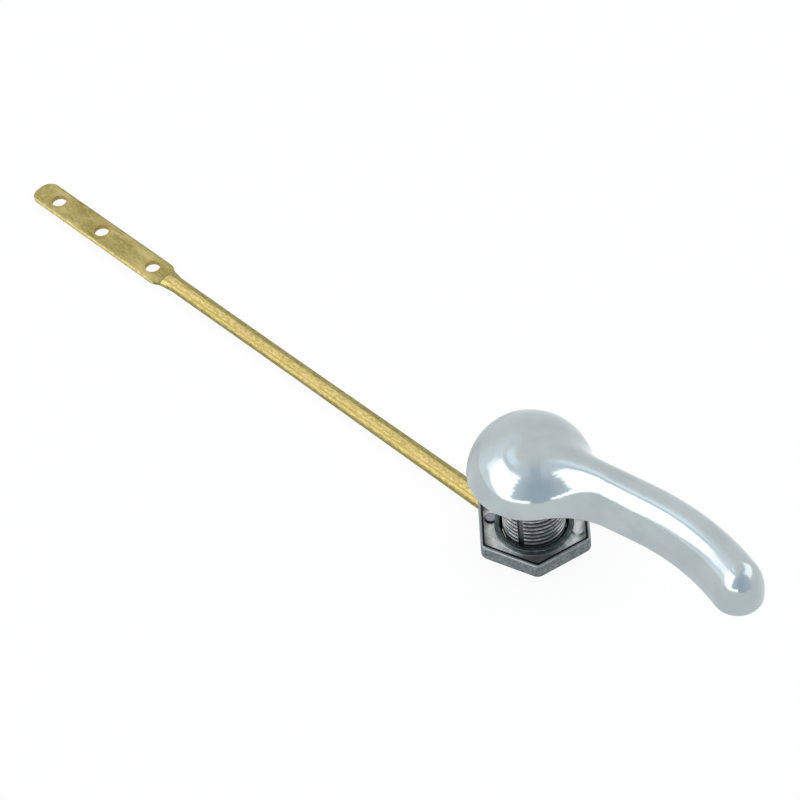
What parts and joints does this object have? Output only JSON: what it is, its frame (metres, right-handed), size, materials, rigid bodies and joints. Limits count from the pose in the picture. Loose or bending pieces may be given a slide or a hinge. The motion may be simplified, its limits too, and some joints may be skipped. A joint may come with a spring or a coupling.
{
  "type": "cistern lever",
  "caption": "Cistern flush lever: chrome half-ball hub with a curved press lever, a threaded shank with lock nut, and a brass lift arm with a holed flat end.",
  "frame": {"origin": "on the shank's axis, in the plane of the flange's seat on the outside of the cistern wall", "axes": "+Z out of the wall along the shank, towards the user; -X along the lift arm; +Y up when fitted on the front of a cistern"},
  "size_m": [0.2651, 0.0316, 0.043],
  "materials": {
    "chrome": "polished chrome plate on a zinc casting",
    "zinc": "bare die-cast zinc, dull grey",
    "brass": "drawn and pressed brass, lightly tarnished"
  },
  "bodies": {
    "bushing": {"bushing": "zinc"},
    "lever": {"handle": "chrome", "lift_arm": "brass"},
    "nut": {"lock_nut": "zinc"}
  },
  "joints": [
    {"name": "lever", "type": "hinge", "parent": "bushing", "child": "lever", "pos_m": [0, 0, 0], "axis": [0, 0, -1], "range_deg": [0, 45]},
    {"name": "nut_travel", "type": "slide", "parent": "bushing", "child": "nut", "axis": [0, 0, 1], "range_m": [0, 0.0124]}
  ]
}
